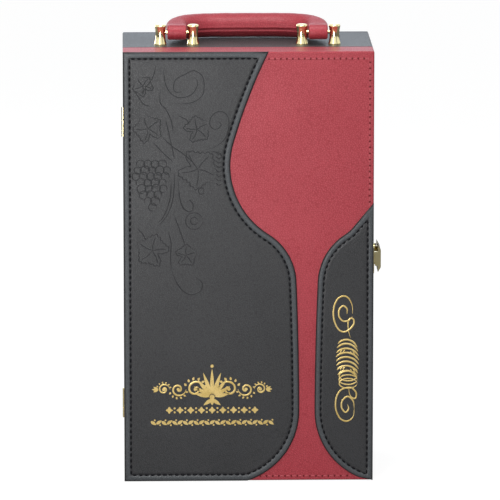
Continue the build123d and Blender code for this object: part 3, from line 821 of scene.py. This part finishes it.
skin_low, skin_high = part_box("door_skin")
right_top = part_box("door_panel_right")[1].z
top_level = skin_high.z - red_stitch_inset_top
low_level = skin_low.z + red_stitch_inset_low
edge_x = skin_high.x - red_stitch_inset_side
top_start = glass_axis - edge_of_glass(top_level) + corner_gap
foot_reach = edge_of_glass(low_level) - foot_gap
red_runs = (
    [(top_start, top_level), (edge_x, top_level)],
    [(edge_x, top_level - corner_gap), (edge_x, right_top + tip_gap)],
    [(glass_axis - foot_reach, low_level), (glass_axis + foot_reach, low_level)],
)
for number, run in enumerate(red_runs):
    places = spread(run, seam_step, 0.5)
    sew("skin_seam_" + str(number), places, red_stitch, panel_back + hair, red_thread)
    half = seam_step / 2
    # Painted shade of the needle holes, one dark disc at each stitch's end.
    hole_shades = [(x - half * math.cos(angle), z - half * math.sin(angle), angle) for x, z, angle in places]
    sew("skin_seam_hole_shades_" + str(number), hole_shades, hole_size, panel_back - hair, needle_hole_shade)

# The left panel carries a blind pressed vine: fine lines of the leather itself, standing slightly proud,
# darkened partly as by the hot die and partly with painted shade of a pressed groove, with a bunch of grapes
# among toothed leaves, and tendrils that curl in spirals.
vine_line = 0.00095
vine_rise = 0.00014
# Across each line: the side, the height, and the colour value: dark in the middle, partly the hot die's
# darkening and partly painted shade of a groove, and a faint painted highlight at both edges.
vine_profile = ((-1.0, 0.0, 0.62), (-0.45, 0.6, 0.10), (0.0, 1.0, 0.02), (0.45, 0.6, 0.10), (1.0, 0.0, 0.62))
layer_step = 0.000002
line_end = 0.18
field_level = panel_back - rim_profile[-1][1]


def curve_through(*corners):
    """A smooth line through a few points."""
    ends = [corners[0], *corners, corners[-1]]
    points = []
    for index in range(1, len(ends) - 2):
        a, b, c, d = (Vector(p) for p in ends[index - 1:index + 3])
        for step in range(8):
            t = step / 8
            curve = (2 * a - 5 * b + 4 * c - d) * t**2 + (3 * b - a - 3 * c + d) * t**3
            points.append(tuple(0.5 * (2 * b + (c - a) * t + curve)))
    points.append(corners[-1])
    return points


def oval(x, z, wide, tall, start=0.0, shown=1.0):
    """A round or oval line, or the part of one that shows."""
    steps = 28
    angles = [start + 2 * math.pi * shown * step / steps for step in range(steps + 1)]
    return [(x + wide * math.cos(angle), z + tall * math.sin(angle)) for angle in angles]


def leaf_reach(angle, size, lobes):
    """How far a toothed, lobed leaf reaches from its stalk in a direction."""
    lobe = 1 - 0.2 * abs(math.sin(lobes * angle / 2)) ** 1.3
    tooth = 0.045 * math.sin(23 * angle)
    notch = 1 - 0.55 * math.exp(-(((angle - math.pi) / 0.3) ** 2))
    return size * (lobe + tooth) * notch


def vine_leaf(x, z, size, turn, lobes=5):
    """A vine leaf: its toothed edge, and a vein to each lobe."""
    edge = []
    for step in range(121):
        angle = 2 * math.pi * step / 120
        reach = leaf_reach(angle, size, lobes)
        edge.append((x + reach * math.cos(angle + turn), z + reach * math.sin(angle + turn)))
    lines = [edge]
    for lobe in range(lobes):
        angle = turn + 2 * math.pi * lobe / lobes
        middle = (x + 0.45 * size * math.cos(angle + 0.1), z + 0.45 * size * math.sin(angle + 0.1))
        tip = (x + 0.84 * size * math.cos(angle), z + 0.84 * size * math.sin(angle))
        lines.append(curve_through((x, z), middle, tip))
    return lines


def grape_bunch(x, z, size):
    """Rows of round grapes that narrow towards the bunch's tip, some half hidden by the next."""
    rings = []
    for row, count in enumerate((4, 5, 5, 4, 4, 3, 2, 1)):
        for berry in range(count):
            middle = x + (berry - (count - 1) / 2) * 1.75 * size + 0.25 * size * math.sin(2.1 * row)
            shown = 1.0 if (row + berry) % 3 else 0.72
            wobble = 1 + 0.1 * math.sin(5 * row + 3 * berry)
            rings.append(oval(middle, z - 1.5 * size * row, size * wobble, size * wobble, -0.7, shown))
    return rings


def ribbon(lines, widths, name, rise, base, profile):
    """Lines that stand a little out of the leather: crowned strips whose ends run out to nothing."""
    points = []
    tones = []
    faces = []
    span = len(profile)
    for number, (line, width) in enumerate(zip(lines, widths)):
        start = len(points)
        last = len(line) - 1
        for index, spot in enumerate(line):
            before = Vector(line[max(0, index - 1)])
            after = Vector(line[min(last, index + 1)])
            along = (after - before).normalized()
            across = Vector((-along.y, along.x))
            share = min(1.0, line_end + 5.0 * min(index, last - index) / max(1, last))
            level = base - layer_step * (number % 9)
            for side, height, tone in profile:
                place = Vector(spot) + across * (side * width / 2 * share)
                points.append((place.x, level + hair - (rise + hair) * height * share, place.y))
                tones.append(tone)
        for index in range(last):
            for column in range(span - 1):
                here = start + span * index + column
                faces.append((here, here + span, here + span + 1, here + 1))
    piece = mesh_piece(name, points, faces)
    tone_points(piece, tones)
    piece.data.flip_normals()
    return piece


vine_lines = grape_bunch(-0.0775, 0.2600, 0.0033)
vine_leaves = (
    (-0.0800, 0.2885, 0.0118, 1.9),
    (-0.0410, 0.2880, 0.0110, 0.5),
    (-0.0405, 0.2560, 0.0165, -0.4),
    (-0.0770, 0.1900, 0.0135, 2.6),
    (-0.0500, 0.1860, 0.0090, 0.3),
    (-0.0840, 0.3230, 0.0085, 2.2),
)
for leaf in vine_leaves:
    vine_lines += vine_leaf(*leaf)
scroll = (
    (-0.0617, 0.3096), (-0.0520, 0.3085), (-0.0431, 0.3104), (-0.0366, 0.3161), (-0.0355, 0.3251),
    (-0.0375, 0.3316), (-0.0439, 0.3352), (-0.0504, 0.3324), (-0.0576, 0.3283), (-0.0597, 0.3234),
    (-0.0588, 0.3186), (-0.0552, 0.3177), (-0.0528, 0.3194),
)
scroll_inside = (
    (-0.0665, 0.3397), (-0.0673, 0.3332), (-0.0657, 0.3234), (-0.0609, 0.3161), (-0.0536, 0.3134),
    (-0.0455, 0.3161), (-0.0415, 0.3218), (-0.0407, 0.3267), (-0.0439, 0.3308),
)
curl = (
    (-0.0350, 0.2714), (-0.0278, 0.2733), (-0.0197, 0.2795), (-0.0162, 0.2885), (-0.0162, 0.2966),
    (-0.0197, 0.3015), (-0.0253, 0.3018), (-0.0297, 0.2982), (-0.0310, 0.2925), (-0.0286, 0.2885),
    (-0.0245, 0.2885), (-0.0221, 0.2917), (-0.0242, 0.2942), (-0.0265, 0.2929),
)
low_curl = (
    (-0.0560, 0.2470), (-0.0552, 0.2340), (-0.0520, 0.2242), (-0.0463, 0.2217), (-0.0442, 0.2266),
    (-0.0471, 0.2307), (-0.0496, 0.2283),
)
low_loop = (
    (-0.0617, 0.1737), (-0.0576, 0.1640), (-0.0520, 0.1567), (-0.0455, 0.1542), (-0.0383, 0.1575),
    (-0.0375, 0.1640), (-0.0420, 0.1680),
)
stems = (
    ((-0.0738, 0.3397), (-0.0762, 0.3299), (-0.0818, 0.3218), (-0.0851, 0.3169)),
    ((-0.0702, 0.3210), (-0.0702, 0.3096), (-0.0657, 0.3039), (-0.0617, 0.2950), (-0.0600, 0.2850)),
    ((-0.0915, 0.3202), (-0.0867, 0.3129), (-0.0835, 0.3085), (-0.0778, 0.3064)),
    ((-0.0697, 0.2828), (-0.0610, 0.2745), (-0.0520, 0.2681), (-0.0440, 0.2610)),
    ((-0.0762, 0.2779), (-0.0690, 0.2700), (-0.0601, 0.2616)),
    ((-0.0660, 0.2960), (-0.0625, 0.2800), (-0.0590, 0.2640)),
    ((-0.0592, 0.2535), (-0.0601, 0.2340), (-0.0649, 0.2193), (-0.0730, 0.2092)),
    ((-0.0617, 0.2470), (-0.0630, 0.2307), (-0.0681, 0.2177), (-0.0722, 0.2128)),
    ((-0.0592, 0.2177), (-0.0544, 0.2047), (-0.0504, 0.1933)),
    ((-0.0640, 0.2050), (-0.0620, 0.1960), (-0.0625, 0.1850), (-0.0617, 0.1737)),
    ((-0.0300, 0.2700), (-0.0235, 0.2690), (-0.0210, 0.2650)),
    ((-0.0560, 0.2990), (-0.0500, 0.2960), (-0.0470, 0.2920)),
    ((-0.0890, 0.2080), (-0.0850, 0.2040), (-0.0820, 0.1980)),
)
vine_lines += [curve_through(*line) for line in (scroll, scroll_inside, curl, low_curl, low_loop, *stems)]
vine_lines += [oval(-0.0436, 0.2139, radius, radius) for radius in (0.0068, 0.0030)]
vine_lines.append(oval(-0.0378, 0.2383, 0.0022, 0.0027))
tooth_count = 8
for tooth in range(tooth_count):
    level = 0.2690 - 0.0036 * tooth
    vine_lines.append(curve_through((-0.0215, level), (-0.0240, level - 0.0010), (-0.0262, level + 0.0008)))
vine = ribbon(vine_lines, [vine_line] * len(vine_lines), "pressed_vine", vine_rise, field_level, vine_profile)
place_piece(vine, "door", panel_leather)

# The gold work is foil stamped into the leather with a hot die: a band of scrolling foliage with two small
# ornamental rules on the left panel, and a tall penwork flourish on the right one.
foil_rise = 0.00009
foil_level = field_level - 0.00001
foil_deep = (0.52, 0.36, 0.10)
foil_high = (0.82, 0.62, 0.25)
foil_profile = ((-1.0, 0.3, 0.5), (-0.8, 1.0, 0.5), (0.8, 1.0, 0.5), (1.0, 0.3, 0.5))

gold_foil, place = new_material("gold_foil")
speck = place.noise(1600.0, 3.0)
tone = (speck * 0.5 + place.noise(90.0) * 0.5).ramp(0.3, 0.7)
close_material(
    place,
    {
        "Base Color": tone.tint(foil_deep, foil_high),
        "Metallic": tone.ramp(0, 1, 0.5, 0.7),
        "Roughness": tone.ramp(0, 1, 0.5, 0.36),
        "Normal": speck.bump(0.3, 0.00005),
    },
)


def stamped(outlines, name):
    """Flat foil shapes pressed on the field: each outline filled, with a thin edge."""
    points = []
    faces = []
    for number, outline in enumerate(outlines):
        start = len(points)
        level = foil_level - foil_rise - layer_step * (number % 5)
        points += [(x, level, z) for x, z in outline]
        faces.append(tuple(range(start, start + len(outline))))
    piece = mesh_piece(name, points, faces, smooth=False)
    select_alone(piece)
    for polygon in piece.data.polygons:
        if polygon.normal.y > 0:
            polygon.flip()
    apply_modifier(piece, "SOLIDIFY", thickness=0.8 * foil_rise, offset=-1)
    return piece


def dot(x, z, radius):
    """A round dot, as a closed outline."""
    return oval(x, z, radius, radius)[:-1]


def petal(x, z, length, width, turn):
    """A pointed leaf or petal from its base along a direction, as a closed outline."""
    upper = [(n / 12 * length, width / 2 * math.sin(math.pi * (n / 12) ** 0.8)) for n in range(13)]
    lower = [(along, -across) for along, across in upper[-2:0:-1]]
    cosine, sine = math.cos(turn), math.sin(turn)
    return [(x + a * cosine - b * sine, z + a * sine + b * cosine) for a, b in upper + lower]


def spiral(x, z, size, turns, start, end_size):
    """A scroll about a point, from its outer end inwards."""
    steps = max(8, int(abs(turns) * 26))
    points = []
    for step in range(steps + 1):
        share = step / steps
        angle = start + 2 * math.pi * turns * share
        reach = size + (end_size - size) * share**0.8
        points.append((x + reach * math.cos(angle), z + reach * math.sin(angle)))
    return points


band_x = -0.0294
band_z = 0.0765
scrolls = ((0.0135, 0.0078), (0.0272, 0.0064), (0.0388, 0.0050))
shapes = []
band_lines = []
band_widths = []
for side in (-1, 1):
    for number, (out, size) in enumerate(scrolls):
        way = 1 if number % 2 else -1
        middle = band_x + side * out
        start = math.pi / 2 * (1 - side) + math.pi
        band_lines.append(spiral(middle, band_z, size, 1.35 * way * side, start, 0.0012))
        band_widths.append(0.0016 - 0.0002 * number)
        shapes.append(dot(middle, band_z, 0.0013))
        for leaf in range(6):
            angle = math.pi * (0.12 + 0.152 * leaf) * -way
            base_x = middle + side * size * 0.98 * math.cos(angle)
            base_z = band_z + size * 0.98 * math.sin(angle)
            turn = angle if side > 0 else math.pi - angle
            shapes.append(petal(base_x, base_z, 0.36 * size, 0.24 * size, turn - 0.5 * side * way))
    tip = band_x + side * 0.0432
    for lean in (-0.5, 0.0, 0.5):
        turn = lean if side > 0 else math.pi - lean
        shapes.append(petal(tip, band_z, 0.0052 - 0.0012 * abs(lean), 0.0019, turn))
fan_base = band_z - 0.0065
for leaf in range(9):
    lean = math.pi / 2 + (leaf - 4) * 0.34
    length = 0.0215 - 0.0022 * abs(leaf - 4)
    start_x, start_z = band_x + 0.0022 * math.cos(lean), fan_base + 0.0022 * math.sin(lean)
    shapes.append(petal(start_x, start_z, length, 0.0030, lean))
for side in (-1, 1):
    shapes.append(petal(band_x, fan_base - 0.0016, 0.0085, 0.0030, -math.pi / 2 + side * 0.95))
shapes.append(petal(band_x, fan_base - 0.0016, 0.0050, 0.0030, -math.pi / 2))
shapes.append(dot(band_x, fan_base, 0.0020))
shapes.append(dot(band_x, band_z + 0.0190, 0.0013))
rule_z = 0.0594
for step in range(17):
    x = band_x + (step - 8) * 0.0043
    if step % 2:
        shapes += [dot(x, rule_z + up, 0.0008) for up in (-0.0016, 0.0016)]
    else:
        shapes += [petal(x, rule_z, 0.0029, 0.0022, turn * math.pi / 2) for turn in range(4)]
low_rule_z = 0.0492
for step in range(23):
    x = band_x + (step - 11) * 0.0043
    up = 1 if step % 2 else -1
    shapes.append(petal(x - 0.0020, low_rule_z - 0.0012 * up, 0.0054, 0.0026, 0.62 * up))
    shapes.append(dot(x + 0.0012, low_rule_z - 0.0020 * up, 0.0007))
foliage = stamped(shapes, "gold_foliage")
place_piece(foliage, "door", gold_foil)
scrollwork = ribbon(band_lines, band_widths, "gold_scrollwork", foil_rise, foil_level, foil_profile)
place_piece(scrollwork, "door", gold_foil)

pen_line = 0.00125
high_loop = (
    (0.0832, 0.1380), (0.0829, 0.1445), (0.0800, 0.1505), (0.0758, 0.1523), (0.0710, 0.1497),
    (0.0681, 0.1421), (0.0684, 0.1331), (0.0715, 0.1258), (0.0760, 0.1230), (0.0808, 0.1250),
    (0.0842, 0.1295), (0.0839, 0.1334), (0.0813, 0.1338), (0.0797, 0.1307), (0.0800, 0.1242),
    (0.0816, 0.1181),
)
high_eye = (
    (0.0831, 0.1355), (0.0800, 0.1323), (0.0755, 0.1320), (0.0724, 0.1359), (0.0726, 0.1412),
    (0.0758, 0.1443), (0.0789, 0.1416), (0.0787, 0.1375),
)
low_hook = (
    (0.0849, 0.0599), (0.0839, 0.0534), (0.0795, 0.0498), (0.0739, 0.0517), (0.0702, 0.0591),
    (0.0702, 0.0680), (0.0731, 0.0745), (0.0779, 0.0770), (0.0828, 0.0770), (0.0863, 0.0732),
    (0.0860, 0.0688), (0.0832, 0.0688), (0.0811, 0.0721), (0.0803, 0.0778),
)
low_eye = (
    (0.0849, 0.0599), (0.0839, 0.0664), (0.0795, 0.0700), (0.0752, 0.0664), (0.0748, 0.0607),
    (0.0779, 0.0570), (0.0803, 0.0599), (0.0795, 0.0635),
)
pen_lines = [curve_through(*line) for line in (high_loop, high_eye, low_hook, low_eye)]
pen_widths = [pen_line] * len(pen_lines)
crescent_x = 0.0793
crescent_levels = (0.1166, 0.1133, 0.1094, 0.1060, 0.1024, 0.0988, 0.0952, 0.0912)
for number, level in enumerate(crescent_levels):
    half = 0.0078 + 0.0014 * math.sin(math.pi * number / (len(crescent_levels) - 1))
    pen_lines.append(
        curve_through(
            (crescent_x - half, level - 0.0034),
            (crescent_x - 0.6 * half, level - 0.0008),
            (crescent_x, level),
            (crescent_x + 0.6 * half, level - 0.0020),
            (crescent_x + half, level - 0.0062),
        )
    )
    pen_widths.append(1.15 * pen_line)
for level in (0.0868, 0.0838, 0.0808):
    pen_lines.append(oval(crescent_x + 0.0006, level, 0.0072, 0.0040))
    pen_widths.append(0.8 * pen_line)
for level in (0.1094, 0.0952):
    for side in (-1, 1):
        for step in range(3):
            x = crescent_x + side * (0.0078 - 0.0022 * step)
            low_end = level - 0.0042 - 0.0008 * side
            middle = (x - side * 0.0004, low_end + 0.0013)
            pen_lines.append(curve_through((x, low_end), middle, (x - side * 0.0013, low_end + 0.0024)))
            pen_widths.append(0.7 * pen_line)
flourish = ribbon(pen_lines, pen_widths, "gold_flourish", foil_rise, foil_level, foil_profile)
place_piece(flourish, "door", gold_foil)

# The carrying handle is a soft cord core wrapped in red leather and closed by a seam along the side that
# faces the palm. It thins towards both ends, where a leather loop is sewn on round each pin.
pin_low, pin_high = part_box("handle_pin_left")
grip_low, grip_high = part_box("handle_grip")
pin_z = (pin_low.z + pin_high.z) / 2
grip_radius = (grip_high.z - grip_low.z) / 2
arm_x = grip_high.x - grip_radius
neck_y = grip_low.y
grip_y = grip_high.y - grip_radius
corner = 0.023
corner_across = 0.036
neck_half = (0.00755, 0.006)
ring_points = 96
seam_angle = -14.0
seam_depth = 0.0011
broad_crease = 0.00022
fine_crease = 0.0001
neck_steps = 14
bend_steps = 30
bar_steps = 40
fill_steps = 30
loop_bevel = 0.0012

spine = []
straight = (grip_y - corner) - neck_y
for step in range(neck_steps):
    spine.append((Vector((-arm_x, neck_y + straight * step / neck_steps)), Vector((0, 1))))
centre = Vector((-arm_x + corner_across, grip_y - corner))
for step in range(bend_steps):
    turned = math.pi / 2 * step / bend_steps
    spot = centre + Vector((-corner_across * math.cos(turned), corner * math.sin(turned)))
    spine.append((spot, Vector((corner_across * math.sin(turned), corner * math.cos(turned))).normalized()))
for step in range(bar_steps + 1):
    spine.append((Vector((-2 * centre.x * step / bar_steps + centre.x, grip_y)), Vector((1, 0))))
spine += [
    (Vector((-spot.x, spot.y)), Vector((along.x, -along.y)))
    for spot, along in spine[neck_steps + bend_steps - 1::-1]
]

points = []
for index, (spot, along) in enumerate(spine):
    inner = Vector((along.y, -along.x))
    fullness = eased(min(index, len(spine) - 1 - index), 0, fill_steps)
    wide, tall = (half + (0.985 * grip_radius - half) * fullness for half in neck_half)
    power = 2 / (3.2 - 1.2 * fullness)
    for number in range(ring_points):
        angle = 2 * math.pi * number / ring_points
        cosine, sine = math.cos(angle), math.sin(angle)
        out = math.copysign(abs(cosine) ** power, cosine) * wide
        up = math.copysign(abs(sine) ** power, sine) * tall
        off = (math.degrees(angle) - seam_angle + 180) % 360 - 180
        notch = math.exp(-((off / 3.4) ** 2)) - 0.42 * math.exp(-(((abs(off) - 9.5) / 5.5) ** 2))
        where = Vector((spot.x + inner.x * out, spot.y + inner.y * out, up))
        crease = broad_crease * noise.noise(where * 130) + fine_crease * noise.noise(where * 420)
        scale = 1 - (seam_depth * notch * (0.35 + 0.65 * fullness) + crease) / grip_radius
        points.append((spot.x + inner.x * out * scale, spot.y + inner.y * out * scale, pin_z + up * scale))
grip = mesh_piece("grip_leather", points, tube_faces(len(spine), ring_points))
face_outwards(grip)
place_piece(grip, "handle", red_leather)
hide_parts("handle_grip")

for side in ("left", "right"):
    loop = node_copy("handle_loop_" + side, "loop_leather_" + side)
    apply_modifier(
        loop, "BEVEL", width=loop_bevel, segments=4, limit_method="ANGLE", angle_limit=math.radians(40)
    )
    select_alone(loop)
    bpy.ops.object.shade_smooth_by_angle(angle=math.radians(50))
    place_piece(loop, "handle", red_leather)
    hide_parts("handle_loop_" + side)

# The wine tools lie in the door's tray: chromed steel, moulded black rubber and a turned, oiled hardwood
# bar on the corkscrew.
chrome = metal("chrome_plate", (0.86, 0.87, 0.88), (0.7, 0.71, 0.73), 0.08, (1.0, 1.0, 5.0))
finish_nodes(chrome, ("corkscrew_worm", "pourer_spout", "stopper_knob", "drip_ring"))

rubber_deep = (0.012, 0.012, 0.013)
rubber_high = (0.03, 0.03, 0.031)
wood_deep = (0.03, 0.011, 0.006)
wood_high = (0.12, 0.045, 0.022)

rubber, place = new_material("black_rubber")
bloom = place.noise(300.0, 4.0)
close_material(
    place,
    {
        "Base Color": bloom.tint(rubber_deep, rubber_high),
        "Roughness": bloom.ramp(0.2, 0.8, 0.5, 0.7),
        "Normal": bloom.bump(0.3, 0.0001),
    },
)
finish_nodes(rubber, ("pourer_plug", "stopper_plug"))

hardwood, place = new_material("dark_hardwood")
drawn = place.add("ShaderNodeMapping", {}, {"Vector": place, "Scale": (6.0, 60.0, 60.0)})
grain = drawn.noise(30.0, 4.0)
figure = (drawn.noise(4.0, 5.0, Distortion=0.6) * 0.65 + grain * 0.4).ramp(0.35, 0.7)
close_material(
    place,
    {
        "Base Color": figure.tint(wood_deep, wood_high),
        "Roughness": figure.ramp(0, 1, 0.34, 0.48),
        "Normal": grain.bump(0.3, 0.0001),
    },
)
finish_nodes(hardwood, ("corkscrew_bar",))
